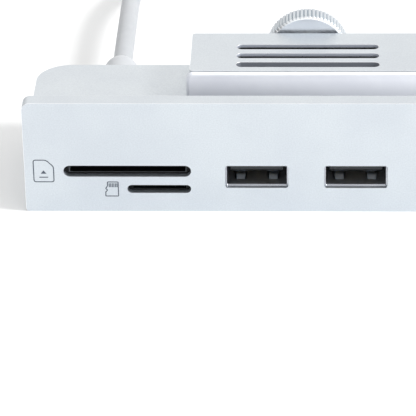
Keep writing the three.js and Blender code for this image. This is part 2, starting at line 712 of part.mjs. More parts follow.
function boot() {
  const { neck, flange, flangeFront, radius, wallGap } = BOOT;
  const wallInside = HOUSING.rear - HOUSING.wall;
  const profile = [
    [0, flangeFront],
    [flange, flangeFront],
    [flange, wallInside - wallGap],
    [neck, wallInside - wallGap],
    [neck, HOUSING.rear + wallGap],
    [radius, HOUSING.rear + wallGap],
  ];
  const { start, rear, baseRadius, tipRadius, steps } = BOOT_DOME;
  for (let i = 0; i <= steps; i += 1) {
    const turn = (i / steps) * (Math.PI / 2);
    const across = tipRadius + (baseRadius - tipRadius) * Math.cos(turn);
    profile.push([across, start + (rear - start) * Math.sin(turn)]);
  }
  profile.push([0, rear]);
  return turned(profile, CORD.x, CORD.z);
}

function cordTube() {
  const path = new THREE.CatmullRomCurve3(CORD_ROUTE.map((point) => new THREE.Vector3(...point)));
  const section = new THREE.Shape();
  for (let i = 0; i < CORD.sides; i += 1) {
    const angle = (i / CORD.sides) * 2 * Math.PI;
    const x = CORD.radius * Math.cos(angle);
    const y = CORD.radius * Math.sin(angle);
    if (i === 0) section.moveTo(x, y);
    else section.lineTo(x, y);
  }
  return new THREE.ExtrudeGeometry(section, { steps: CORD.steps, bevelEnabled: false, extrudePath: path });
}

// The plug points at the hub: its rear end, where the cord goes in, is farthest back.
function plugPieces() {
  const { x, rear, z, halfWidth, halfHeight, length, radius } = PLUG;
  const face = rear - length;
  const { wall, seated, seatDepth } = PLUG_SHELL;
  const shellFront = face - PLUG_SHELL.length;
  const shellRear = face + seated;
  const shellWidth = 2 * PLUG_SHELL.halfWidth;
  const shellHeight = 2 * PLUG_SHELL.halfHeight;
  const tube = (growth, y0, y1) =>
    extrudeBack(stadium(x, z, shellWidth + growth, shellHeight + growth), y0, y1, PORT_SEGMENTS);

  const outline = roundedRect(x - halfWidth, x + halfWidth, z - halfHeight, z + halfHeight, radius, radius);
  const body = cut(extrudeBack(outline, face, rear), [tube(2 * FIT, face - PAST, face + seatDepth)]);
  const shell = cut(tube(0, shellFront, shellRear), [tube(-2 * wall, shellFront - PAST, shellRear + PAST)]);
  const { gap, setback, mouthHalfWidth, mouthHalfHeight, floor } = PLUG_INSERT;
  const mouth = box(
    x - mouthHalfWidth, x + mouthHalfWidth, shellFront - PAST, face - floor,
    z - mouthHalfHeight, z + mouthHalfHeight,
  );
  const insert = cut(tube(-2 * (wall + gap), shellFront + setback, shellRear), [mouth]);
  const reliefFront = rear + PLUG_RELIEF.gap;
  const reliefRear = rear + PLUG_RELIEF.length;
  const profile = [
    [0, reliefFront],
    [PLUG_RELIEF.base, reliefFront],
    [PLUG_RELIEF.tip, reliefRear],
    [0, reliefRear],
  ];
  return { body, shell, insert, relief: turned(profile, x, z) };
}

add("strain_relief", boot(), cordJacket);
add("cord", cordTube(), cordJacket);
const plug = plugPieces();
add("plug_relief", plug.relief, cordJacket);
add("plug_body", plug.body, aluminium);
add("plug_shell", plug.shell, steel);
add("plug_insert", plug.insert, blackPlastic);

export default hub;
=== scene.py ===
"""The looks of a clamp-on USB hub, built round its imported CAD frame. +X is right, +Y the rear and +Z up."""

import math

import bmesh
import bpy
from mathutils import Matrix, Vector

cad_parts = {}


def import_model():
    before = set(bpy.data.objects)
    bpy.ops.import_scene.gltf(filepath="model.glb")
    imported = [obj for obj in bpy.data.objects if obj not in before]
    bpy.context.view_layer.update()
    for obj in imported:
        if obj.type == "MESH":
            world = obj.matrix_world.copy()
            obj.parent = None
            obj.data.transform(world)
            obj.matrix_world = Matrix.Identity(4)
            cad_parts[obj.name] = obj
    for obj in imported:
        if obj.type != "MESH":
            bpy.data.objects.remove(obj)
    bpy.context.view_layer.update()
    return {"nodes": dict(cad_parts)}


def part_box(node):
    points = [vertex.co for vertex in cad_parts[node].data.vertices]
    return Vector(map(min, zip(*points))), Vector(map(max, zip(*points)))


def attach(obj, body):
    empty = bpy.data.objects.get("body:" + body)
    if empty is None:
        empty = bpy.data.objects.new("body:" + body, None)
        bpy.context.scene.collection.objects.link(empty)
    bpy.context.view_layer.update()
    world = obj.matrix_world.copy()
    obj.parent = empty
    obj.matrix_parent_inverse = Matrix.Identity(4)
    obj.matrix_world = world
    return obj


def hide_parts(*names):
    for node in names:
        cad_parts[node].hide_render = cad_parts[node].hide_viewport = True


MM = 0.001
WHEEL_AXIS = {"x": 0.0, "z": 18.9}

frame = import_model()
nodes = frame["nodes"]

# ---- Materials ----


def colour(red, green, blue):
    """A shader colour from display values of 0 to 255."""

    def linear(value):
        share = value / 255
        return share / 12.92 if share <= 0.04045 else ((share + 0.055) / 1.055) ** 2.4

    return (linear(red), linear(green), linear(blue), 1.0)


class Finish:
    """A material with one Principled shader, and short ways of adding nodes to it."""

    def __init__(self, name, **sockets):
        self.material = bpy.data.materials.new(name)
        self.material.use_nodes = True
        self.tree = self.material.node_tree
        self.shader = self.tree.nodes["Principled BSDF"]
        for socket, value in sockets.items():
            self.shader.inputs[socket.replace("_", " ")].default_value = value
        self.place = self.node("ShaderNodeTexCoord").outputs["Object"]

    def node(self, kind, **settings):
        made = self.tree.nodes.new(kind)
        for key, value in settings.items():
            setattr(made, key, value)
        return made

    def link(self, source, target):
        self.tree.links.new(source, target)

    def stretched(self, scale):
        """The object's coordinates, scaled by a different amount along each axis."""
        mapping = self.node("ShaderNodeMapping")
        mapping.inputs["Scale"].default_value = scale
        self.link(self.place, mapping.inputs["Vector"])
        return mapping.outputs["Vector"]

    def noise(self, feature, detail=2.0, stretch=None):
        """Noise whose features are about that many millimetres across."""
        made = self.node("ShaderNodeTexNoise")
        made.inputs["Scale"].default_value = 1 / (feature * MM)
        made.inputs["Detail"].default_value = detail
        self.link(self.place if stretch is None else self.stretched(stretch), made.inputs["Vector"])
        return made.outputs["Fac"]

    def cells(self, feature):
        """The distance to the nearest of points about that many millimetres apart."""
        made = self.node("ShaderNodeTexVoronoi")
        made.inputs["Scale"].default_value = 1 / (feature * MM)
        self.link(self.place, made.inputs["Vector"])
        return made.outputs["Distance"]

    def ramp(self, source, low, high, start=0.35, stop=0.65):
        """source, from start to stop, as a number from low to high."""
        made = self.node("ShaderNodeMapRange")
        for socket, value in (("From Min", start), ("From Max", stop), ("To Min", low), ("To Max", high)):
            made.inputs[socket].default_value = value
        self.link(source, made.inputs["Value"])
        return made.outputs["Result"]

    def mixed(self, share, first, second):
        """Two colours mixed by share."""
        made = self.node("ShaderNodeMix", data_type="RGBA")
        self.link(share, made.inputs["Factor"])
        for socket, value in (("A", first), ("B", second)):
            target = next(s for s in made.inputs if s.name == socket and s.type == "RGBA")
            if isinstance(value, bpy.types.NodeSocket):
                self.link(value, target)
            else:
                target.default_value = value
        return next(s for s in made.outputs if s.type == "RGBA")

    def tones(self, feature, detail, first, second, stretch=None):
        """Two colours mixed by noise whose features are about that many millimetres across."""
        return self.mixed(self.ramp(self.noise(feature, detail, stretch), 0, 1), first, second)

    def paint(self, source):
        self.link(source, self.shader.inputs["Base Color"])

    def rough(self, source):
        self.link(source, self.shader.inputs["Roughness"])

    def bump(self, source, height, strength=1.0):
        """Adds relief of that many millimetres; later calls add to earlier ones."""
        made = self.node("ShaderNodeBump")
        made.inputs["Strength"].default_value = strength
        made.inputs["Distance"].default_value = height * MM
        self.link(source, made.inputs["Height"])
        normal = self.shader.inputs["Normal"]
        if normal.is_linked:
            self.link(normal.links[0].from_socket, made.inputs["Normal"])
        self.link(made.outputs["Normal"], normal)


GRAIN = 0.22
GRAIN_COLOUR = colour(186, 191, 197)


def blasted_colour(finish, light, dark):
    """The anodised tone: a little cloudier over centimetres, with the pebble's own fine specks."""
    cloud = finish.tones(14, 3, dark, light)
    speck = finish.ramp(finish.noise(0.3, 3), 0.0, GRAIN)
    return finish.mixed(speck, cloud, GRAIN_COLOUR)


def blasted_surface(finish):
    """The even pebble that glass beads leave, anodised over."""
    finish.rough(finish.ramp(finish.noise(0.35, 3), 0.46, 0.56))
    finish.bump(finish.noise(0.2, 4), 0.014, 0.8)
    finish.bump(finish.noise(0.8, 2), 0.03, 0.45)


def blasted_aluminium(name, light, dark):
    """Bead-blasted, clear-anodised aluminium."""
    finish = Finish(name, Metallic=1.0)
    finish.paint(blasted_colour(finish, light, dark))
    blasted_surface(finish)
    return finish.material


# The clamp block's slots: the heights of its top and of their floor, how far down the walls turn dull and
# take their painted shade, how far down their painted light reaches, and the stretch of Y that parts the
# front slot from the two behind it.
SLOTS = {"top": 24.2, "floor": 22.9, "dull_start": 0.02, "dull_stop": 0.12, "lit": 0.4, "parting": (2, 3)}
# The space that holds the slots, as the two places on an axis between which each of its four sides fades in.
SLOT_SIDES = (("X", -16.3, -16), ("X", 16.3, 16), ("Y", -1.2, -0.9), ("Y", 11, 10.7))
# Painted light and shade for the slots' walls: one even painted shade grey for the front slot, and for the
# two behind it painted shade at the floor fading up to painted light near the top.
FRONT_SLOT_SHADE = colour(128, 132, 140)
SLOT_FLOOR_SHADE = colour(96, 98, 104)
SLOT_TOP_LIGHT = colour(196, 202, 214)


def slotted_aluminium(name, light, dark):
    """The same, but duller inside the slots, whose walls take painted shade, darker towards the slots' floor,
    and painted light near their top.
    """
    finish = Finish(name)
    split = finish.node("ShaderNodeSeparateXYZ")
    finish.link(finish.place, split.inputs["Vector"])
    top, near, far = SLOTS["top"], *SLOTS["parting"]
    dull, bright = top - SLOTS["dull_stop"], top - SLOTS["dull_start"]
    inside = finish.ramp(split.outputs["Z"], 1, 0, dull * MM, bright * MM)
    for axis, outer, inner in SLOT_SIDES:
        product = finish.node("ShaderNodeMath", operation="MULTIPLY")
        finish.link(inside, product.inputs[0])
        finish.link(finish.ramp(split.outputs[axis], 0, 1, outer * MM, inner * MM), product.inputs[1])
        inside = product.outputs["Value"]
    # Painted shade at the slots' floor, fading to painted light near their top.
    depth = finish.ramp(split.outputs["Z"], 0, 1, SLOTS["floor"] * MM, (top - SLOTS["lit"]) * MM)
    behind = finish.ramp(split.outputs["Y"], 0, 1, near * MM, far * MM)
    # The front slot takes one even painted shade; the two behind take painted shade and light by height.
    wall = finish.mixed(behind, FRONT_SLOT_SHADE, finish.mixed(depth, SLOT_FLOOR_SHADE, SLOT_TOP_LIGHT))
    finish.paint(finish.mixed(inside, blasted_colour(finish, light, dark), wall))
    finish.link(finish.ramp(inside, 1, 0.1, 0, 1), finish.shader.inputs["Metallic"])
    blasted_surface(finish)
    return finish.material


def cut_chamfer():
    """The bright machined edge of the casing, with the faint marks of the cutter."""
    finish = Finish("cut_chamfer", Metallic=1.0)
    finish.paint(finish.tones(3, 3, colour(243, 246, 249), colour(250, 251, 253)))
    finish.rough(finish.ramp(finish.noise(0.3, 3, (0.2, 1, 1)), 0.26, 0.36))
    finish.bump(finish.noise(0.08, 2, (0.1, 1, 1)), 0.003, 0.4)
    return finish.material


def turned_aluminium():
    """The wheel's satin aluminium, with the lathe's fine rings."""
    finish = Finish("turned_aluminium", Metallic=1.0)
    rings = finish.node("ShaderNodeTexWave", wave_type="RINGS", rings_direction="Y")
    rings.inputs["Scale"].default_value = 1 / (0.6 * MM)
    rings.inputs["Distortion"].default_value = 0.4
    mapping = finish.node("ShaderNodeMapping")
    mapping.inputs["Location"].default_value = (-WHEEL_AXIS["x"] * MM, 0, -WHEEL_AXIS["z"] * MM)
    finish.link(finish.place, mapping.inputs["Vector"])
    finish.link(mapping.outputs["Vector"], rings.inputs["Vector"])
    finish.paint(finish.tones(4, 3, colour(240, 243, 248), colour(246, 248, 252)))
    finish.rough(finish.ramp(finish.noise(0.4, 3), 0.32, 0.40))
    finish.bump(rings.outputs["Fac"], 0.002, 0.3)
    finish.bump(finish.noise(0.15, 3), 0.006, 0.3)
    return finish.material


def rolled_steel(name, light, dark, low, high):
    """Plated sheet steel, with grain along the direction it was rolled in."""
    finish = Finish(name, Metallic=1.0)
    finish.paint(finish.tones(2.5, 4, dark, light, (0.3, 1, 1)))
    finish.rough(finish.ramp(finish.noise(0.2, 3, (0.08, 1, 1)), low, high))
    finish.bump(finish.noise(0.1, 2, (0.05, 1, 1)), 0.004, 0.25)
    return finish.material


def machined_steel():
    """Plated screws and pins, with the fine marks of handling."""
    finish = Finish("machined_steel", Metallic=1.0)
    finish.paint(finish.tones(1.5, 4, colour(168, 171, 177), colour(196, 198, 203)))
    finish.rough(finish.ramp(finish.noise(0.4, 4), 0.22, 0.36))
    finish.bump(finish.noise(0.12, 3), 0.004, 0.3)
    return finish.material


def yellow_metal(name, light, dark, low, high):
    """Brass, or the gold flash on a contact."""
    finish = Finish(name, Metallic=1.0)
    finish.paint(finish.tones(1.2, 4, dark, light))
    finish.rough(finish.ramp(finish.noise(0.3, 3), low, high))
    finish.bump(finish.noise(0.1, 2), 0.003, 0.3)
    return finish.material


def moulded_plastic(name, light, dark, grain=0.25, low=0.42, high=0.58, specular=0.5):
    """Moulded plastic: spark-eroded grain, and a slow change of tone where it flowed."""
    finish = Finish(name, Specular_IOR_Level=specular)
    finish.paint(finish.tones(5, 3, dark, light))
    finish.rough(finish.ramp(finish.noise(0.5, 3), low, high))
    finish.bump(finish.noise(grain, 4), 0.015, 0.35)
    return finish.material


def silicone_rubber(low, high):
    """Pale silicone with a soft bloom, and painted shade that greys it towards the shelf, from the height
    high down to low.
    """
    finish = Finish("silicone_rubber", Sheen_Weight=0.04)
    split = finish.node("ShaderNodeSeparateXYZ")
    finish.link(finish.place, split.inputs["Vector"])
    # Painted shade: grey at the height low, fading out to the pad's own pale tone by high.
    height = finish.ramp(split.outputs["Z"], 0, 1, low * MM, high * MM)
    unshaded = finish.tones(6, 3, colour(238, 240, 247), colour(243, 245, 251))
    finish.paint(finish.mixed(height, colour(192, 195, 200), unshaded))
    finish.rough(finish.ramp(finish.noise(0.8, 3), 0.38, 0.50))
    finish.bump(finish.noise(0.35, 3), 0.006, 0.3)
    return finish.material


def cord_jacket(name, light, dark):
    """Soft extruded jacket: faint lines along it, and light handling marks."""
    finish = Finish(name)
    finish.paint(finish.tones(7, 4, dark, light))
    finish.rough(finish.ramp(finish.noise(1.2, 4), 0.40, 0.55))
    finish.bump(finish.noise(0.5, 2, (1, 0.06, 1)), 0.010, 0.3)
    finish.bump(finish.noise(0.18, 3), 0.006, 0.3)
    return finish.material


def solder_mask():
    """Green board: lighter copper runs under a glossy mask, with tinned pads."""
    finish = Finish("solder_mask", Coat_Weight=0.5, Coat_Roughness=0.12)
    runs = finish.node("ShaderNodeTexBrick", offset=0.37, squash=0.6)
    runs.inputs["Scale"].default_value = 1 / (2.4 * MM)
    runs.inputs["Mortar Size"].default_value = 0.09
    finish.link(finish.place, runs.inputs["Vector"])
    under = finish.mixed(runs.outputs["Fac"], colour(20, 66, 44), colour(38, 104, 68))
    pads = finish.ramp(finish.cells(1.9), 1, 0, 0.10, 0.13)
    finish.paint(finish.mixed(pads, under, colour(188, 184, 166)))
    finish.rough(finish.ramp(finish.noise(1.5, 3), 0.30, 0.42))
    finish.bump(runs.outputs["Fac"], 0.03, 0.4)
    return finish.material


def etched_mark():
    """Laser-darkened aluminium: finely pitted, grey."""
    finish = Finish("etched_mark", Metallic=0.35)
    finish.paint(finish.tones(0.25, 3, colour(72, 80, 92), colour(90, 98, 110)))
    finish.rough(finish.ramp(finish.noise(0.3, 3), 0.55, 0.7))
    finish.bump(finish.noise(0.1, 3), 0.006, 0.5)
    return finish.material


def sintered_ceramic():
    """The capacitors' tan body, unglazed."""
    finish = Finish("sintered_ceramic")
    finish.paint(finish.tones(0.6, 4, colour(146, 120, 88), colour(176, 150, 114)))
    finish.rough(finish.ramp(finish.noise(0.4, 3), 0.45, 0.65))
    finish.bump(finish.noise(0.15, 4), 0.010, 0.5)
    return finish.material


CASING = (colour(217, 223, 228), colour(212, 218, 224))
# The heights over which the pads' painted shade fades out.
PAD_SHADE_FROM, PAD_SHADE_TO = 17.6, 22.6
SOCKET_BLACK = colour(13, 13, 15)

aluminium = blasted_aluminium("aluminium", *CASING)
block_aluminium = slotted_aluminium("block_aluminium", *CASING)
chamfer = cut_chamfer()
wheel_metal = turned_aluminium()
shell_steel = rolled_steel("shell_steel", colour(196, 200, 206), colour(178, 182, 188), 0.45, 0.55)
lip_steel = rolled_steel("lip_steel", colour(206, 209, 216), colour(186, 189, 196), 0.24, 0.34)
spring_steel = rolled_steel("spring_steel", colour(184, 194, 207), colour(172, 182, 196), 0.5, 0.65)
plate_steel = rolled_steel("plate_steel", colour(190, 193, 198), colour(165, 168, 174), 0.26, 0.4)
screw_steel = machined_steel()
brass = yellow_metal("brass", colour(212, 178, 104), colour(188, 150, 82), 0.26, 0.4)
gold = yellow_metal("gold_contact", colour(232, 196, 116), colour(212, 172, 92), 0.18, 0.3)
black_plastic = moulded_plastic("black_plastic", colour(30, 31, 33), colour(22, 23, 25))
socket_plastic = moulded_plastic("socket_plastic", SOCKET_BLACK, colour(9, 9, 10), 0.25, 0.5, 0.65, 0.25)
tongue_plastic = moulded_plastic("tongue_plastic", colour(36, 40, 43), colour(29, 33, 36), 0.18, 0.45, 0.6)
# Painted highlight: a light grey for the card socket's edges, where its black plastic catches the light.
socket_edge_highlight = moulded_plastic("socket_edge_highlight", colour(112, 116, 120), colour(100, 104, 108), 0.18, 0.45, 0.6)
nylon = moulded_plastic("nylon", colour(226, 224, 214), colour(214, 211, 200))
silicone = silicone_rubber(PAD_SHADE_FROM, PAD_SHADE_TO)
jacket = cord_jacket("cord_jacket", colour(189, 192, 196), colour(184, 187, 191))
# The boot and the plug's sleeve take the jacket's own material painted lighter, a painted highlight for how
# they catch the light.
sleeve = cord_jacket("jacket_painted_lighter", colour(200, 203, 207), colour(195, 198, 202))
board = solder_mask()
etched = etched_mark()
ceramic = sintered_ceramic()

# ---- CAD nodes that stay ----


WELD_REACH = 1e-6
FLAT_ANGLE = math.radians(0.5)
SHARP_ANGLE = math.radians(35)


def add_bevel(obj, width, segments, material):
    """A bevel of that many millimetres on the sharp edges, whose faces take that material slot."""
    bevel = obj.modifiers.new("bevel", "BEVEL")
    bevel.width = width * MM
    bevel.segments = segments
    bevel.limit_method = "ANGLE"
    bevel.angle_limit = SHARP_ANGLE
    bevel.material = material
    return bevel


def clean_faces(obj):
    """Joins the triangles of each flat face, so that a bevel runs only along real edges."""
    weld = obj.modifiers.new("weld", "WELD")
    weld.merge_threshold = WELD_REACH
    flat = obj.modifiers.new("flat_faces", "DECIMATE")
    flat.decimate_type = "DISSOLVE"
    flat.angle_limit = FLAT_ANGLE


def smooth_faces(obj):
    """Shades each flat face flat, and lets the bevels turn between them."""
    normals = obj.modifiers.new("normals", "WEIGHTED_NORMAL")
    normals.keep_sharp = False


def dress(name, finish, edge=0.0, edge_finish=None, segments=2):
    """Gives a CAD node its finish, and its edges a bevel of that many millimetres."""
    obj = nodes[name]
    obj.data.materials.clear()
    obj.data.materials.append(finish)
    if edge_finish:
        obj.data.materials.append(edge_finish)
    clean_faces(obj)
    add_bevel(obj, edge, segments, 1 if edge_finish else -1)
    smooth_faces(obj)


dress("rear_housing", aluminium, 0.15, chamfer)
dress("clamp_block", block_aluminium, 0.07, chamfer)
dress("bottom_cover", aluminium, 0.15, chamfer)
dress("plug_body", aluminium, 0.45, None, 4)
for name in (
    "cover_screw_1",
    "cover_screw_2",
    "cover_screw_3",
    "cover_screw_4",
    "board_screw_1",
    "board_screw_2",
    "block_screw_1",
    "block_screw_2",
    "clamp_screw",
    "guide_pin_1",
    "guide_pin_2",
):
    dress(name, screw_steel, 0.12)
for name in ("jaw_plate", "retaining_ring", "crystal", "plug_shell"):
    dress(name, plate_steel, 0.08)
dress("usb_c_shell", shell_steel, 0.08, plate_steel)
# The card sockets' edges are painted lighter than their black plastic as a painted highlight: light grey on
# the card socket, the tongues' dark grey on the small one.
dress("card_socket", socket_plastic, 0.1, socket_edge_highlight)
dress("micro_card_socket", socket_plastic, 0.1, tongue_plastic)
for name in ("hub_chip", "card_reader_chip"):
    dress(name, black_plastic, 0.08)
# The black slot_tray under the clamp block's slots also stands in for the shade inside them.
for name in ("usb_c_tongue", "plug_insert", "slot_tray"):
    dress(name, black_plastic, 0.06)
for name in ("capacitor_1", "capacitor_2"):
    dress(name, ceramic, 0.12)
for name in ("cord_header", "thrust_washer"):
    dress(name, nylon, 0.08)
for name in ("screw_bush", "jaw_carriage"):
    dress(name, brass, 0.12)
for name in ("lip_pad", "shelf_pad"):
    dress(name, silicone, 0.12)
dress("main_board", board, 0.05)

# ---- Mesh making ----


def piece(name, points, faces, finishes, body, stands_for=(), face_finishes=None, crease=35):
    """A new piece from points in millimetres, which rides on a body in place of any nodes it stands for."""
    mesh = bpy.data.meshes.new(name)
    mesh.from_pydata([Vector(point) * MM for point in points], [], faces)
    for finish in finishes:
        mesh.materials.append(finish)
    if face_finishes:
        mesh.polygons.foreach_set("material_index", face_finishes)
    mesh.shade_smooth()
    mesh.set_sharp_from_angle(angle=math.radians(crease))
    mesh.update()
    obj = bpy.data.objects.new(name, mesh)
    bpy.context.scene.collection.objects.link(obj)
    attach(obj, body)
    if stands_for:
        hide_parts(*stands_for)
    return obj


class Shape:
    """Points and faces gathered from several closed bodies."""

    def __init__(self):
        self.points = []
        self.faces = []

    def add(self, points, faces):
        start = len(self.points)
        self.points += [tuple(point) for point in points]
        self.faces += [tuple(start + i for i in face) for face in faces]

    def loft(self, rings, closed=False):
        """Skins rings of equal length; the ends are capped unless the last ring meets the first."""
        count = len(rings[0])
        points = [point for ring in rings for point in ring]
        faces = []
        last = len(rings) if closed else len(rings) - 1
        for i in range(last):
            low = i * count
            high = (i + 1) % len(rings) * count
            for k in range(count):
                after = (k + 1) % count
                faces.append((low + k, low + after, high + after, high + k))
        if not closed:
            faces.append(tuple(reversed(range(count))))
            faces.append(tuple(range(last * count, last * count + count)))
        self.add(points, faces)

    def outward(self):
        """Turns every face of a closed shape to face out."""
        mesh = bpy.data.meshes.new("outward")
        mesh.from_pydata(self.points, [], self.faces)
        work = bmesh.new()
        work.from_mesh(mesh)
        bmesh.ops.recalc_face_normals(work, faces=work.faces)
        self.points = [tuple(v.co) for v in work.verts]
        self.faces = [tuple(v.index for v in face.verts) for face in work.faces]
        work.free()
        bpy.data.meshes.remove(mesh)


def rounded_outline(x0, x1, z0, z1, radius, steps=6):
    """A rectangle with round corners, anticlockwise, as (x, z) pairs."""
    corners = ((x1 - radius, z0 + radius, -90), (x1 - radius, z1 - radius, 0))
    corners += ((x0 + radius, z1 - radius, 90), (x0 + radius, z0 + radius, 180))
    outline = []
    for x, z, start in corners:
        for k in range(steps + 1):
            angle = math.radians(start + 90 * k / steps)
            outline.append((x + radius * math.cos(angle), z + radius * math.sin(angle)))
    return outline


def rectangle(x0, x1, z0, z1):
    """A rectangle's corners, anticlockwise, as (x, z) pairs."""
    return [(x0, z0), (x1, z0), (x1, z1), (x0, z1)]


def block(shape, x0, x1, y0, y1, z0, z1, edge=0.0):
    """Adds a box along Y to a shape. Its four long edges and both ends are rounded off by edge."""
    if not edge:
        shape.loft([[(x, y, z) for x, z in rectangle(x0, x1, z0, z1)] for y in (y0, y1)])
        return
    rings = []
    for y, inset in ((y0, edge), (y0 + edge, 0), (y1 - edge, 0), (y1, edge)):
        outline = rounded_outline(x0 + inset, x1 - inset, z0 + inset, z1 - inset, edge, 2)
        rings.append([(x, y, z) for x, z in outline])
    shape.loft(rings)


def lathe(shape, profile, x, z, sides, closed=False, radius_at=None):
    """Turns (radius, y) pairs about a line along Y. radius_at may change a radius at each side."""
    rings = []
    for radius, y in profile:
        ring = []
        for k in range(sides):
            angle = 2 * math.pi * k / sides
            reach = radius_at(radius, k) if radius_at else radius
            ring.append((x + reach * math.sin(angle), y, z + reach * math.cos(angle)))
        rings.append(ring)
    shape.loft(rings, closed)


# ---- Front panel ----

PANEL_BEVEL = {"edge": 0.06, "edge_segments": 2, "rim": 0.3, "rim_segments": 4}
# Edges outside these limits are on the panel's outline, and inside them round an opening.
PANEL_OUTLINE = {"side": 58.5, "bottom": 0.3, "top": 25.5}
SAME_DEPTH = 0.01


def front_panel():
    """The panel, with fine chamfers round its openings and a wider, rounder one round its outline."""
    mesh = nodes["front_panel"].data.copy()
    mesh.name = "front_panel_milling"
    mesh.materials.clear()
    mesh.materials.append(aluminium)
    mesh.materials.append(chamfer)

    def on_outline(point):
        inside = PANEL_OUTLINE["bottom"] < point.z < PANEL_OUTLINE["top"]
        return abs(point.x) > PANEL_OUTLINE["side"] or not inside

    weights = mesh.attributes.new("bevel_weight_edge", "FLOAT", "EDGE")
    for line in mesh.edges:
        start, stop = (mesh.vertices[i].co / MM for i in line.vertices)
        in_face = abs(start.y - stop.y) < SAME_DEPTH
        weights.data[line.index].value = float(in_face and on_outline(start) and on_outline(stop))
    obj = bpy.data.objects.new("front_panel_milling", mesh)
    bpy.context.scene.collection.objects.link(obj)
    obj.matrix_world = nodes["front_panel"].matrix_world.copy()
    clean_faces(obj)
    rim = add_bevel(obj, PANEL_BEVEL["rim"], PANEL_BEVEL["rim_segments"], 1)
    rim.limit_method = "WEIGHT"
    add_bevel(obj, PANEL_BEVEL["edge"], PANEL_BEVEL["edge_segments"], 1)
    smooth_faces(obj)
    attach(obj, "hub")
    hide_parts("front_panel")


front_panel()

# ---- USB-A ports ----

USB_A_CENTRES = (-10.75, 10.2, 31.15)
PANEL_FRONT = -21.0
SHELL = {"half": 6.6, "bottom": 5.785, "top": 10.935, "front": -20.25, "rear": -6.25, "wall": 0.3}
FLARE = {"depth": 0.32, "edge": 0.03, "side": 0.22, "corner": 0.45, "mouth_corner": 0.3, "throat_corner": 0.2}
WINDOW = {"offset": 3.45, "near": -17.7, "far": -13.6, "half": 1.25, "corner": 0.5}
WINDOW_FLARE = {"start": -14.7, "half": 1.95}
SPRING = {"half": 0.97, "tip_half": 0.8342, "thickness": 0.18}
# The springs' underside, as (y, height over the shell's outer floor) from root to tip.
SPRING_LINE = (
    (-13.3, 0.0),
    (-14.2, 0.1),
    (-15.0, 0.32),
    (-15.7, 0.58),
    (-16.1, 0.66),
    (-16.5, 0.56),
    (-17.45, -0.2),
)
TONGUE = {"half": 5.55, "front": -19.7, "rear": -6.57, "bottom": 8.6, "top": 10.48, "edge": 0.1}
TONGUE_NOSE = {"bottom": 9.62, "back": -18.5}
TONGUE_ROOT = {"half": 6.13, "front": -8.75, "bottom": 6.12, "top": 10.6, "gap": 0.01, "edge": 0.12}
CONTACT = {"offsets": (-3.5, -1.0, 1.0, 3.5), "half": 0.5, "front": -18.3, "rear": -9.0}
CONTACT_BLADE = {"proud": 0.08, "sunk": 0.02, "edge": 0.03}


def window_outline(middle):
    """The bell-shaped opening under a spring: round at the near end, flared at the far end."""
    near, far, half, radius = (WINDOW[key] for key in ("near", "far", "half", "corner"))
    corner_steps = 6
    flare_steps = 5
    right = []
    for k in range(corner_steps + 1):
        angle = math.radians(-90 + 90 * k / corner_steps)
        right.append((half - radius + radius * math.cos(angle), near + radius + radius * math.sin(angle)))
    for k in range(1, flare_steps + 1):
        share = k / flare_steps
        spread = (WINDOW_FLARE["half"] - half) * share**2
        right.append((half + spread, WINDOW_FLARE["start"] + (far - WINDOW_FLARE["start"]) * share))
    left = [(-x, y) for x, y in reversed(right)]
    return [(middle + x, y) for x, y in right + left]


def sheet_with_windows(shape, centre):
    """The shell's floor as one plate with both windows in it."""
    curve = bpy.data.curves.new("floor_plate", "CURVE")
    curve.dimensions = "2D"
    curve.fill_mode = "BOTH"
    curve.extrude = SHELL["wall"] / 2
    half = SHELL["half"] - SHELL["wall"]
    front = SHELL["front"] + FLARE["depth"]
    rear = SHELL["rear"] - SHELL["wall"]
    plate = [(-half, front), (half, front), (half, rear), (-half, rear)]
    for outline in (plate, window_outline(-WINDOW["offset"]), window_outline(WINDOW["offset"])):
        spline = curve.splines.new("POLY")
        spline.points.add(len(outline) - 1)
        spline.use_cyclic_u = True
        for point, (x, y) in zip(spline.points, outline):
            point.co = (x, y, 0, 1)
    holder = bpy.data.objects.new("floor_plate", curve)
    bpy.context.scene.collection.objects.link(holder)
    graph = bpy.context.evaluated_depsgraph_get()
    mesh = bpy.data.meshes.new_from_object(holder.evaluated_get(graph))
    height = SHELL["bottom"] + SHELL["wall"] / 2
    points = [(centre + v.co.x, v.co.y, height + v.co.z) for v in mesh.vertices]
    shape.add(points, [tuple(face.vertices) for face in mesh.polygons])
    bpy.data.objects.remove(holder)
    bpy.data.curves.remove(curve)
    bpy.data.meshes.remove(mesh)


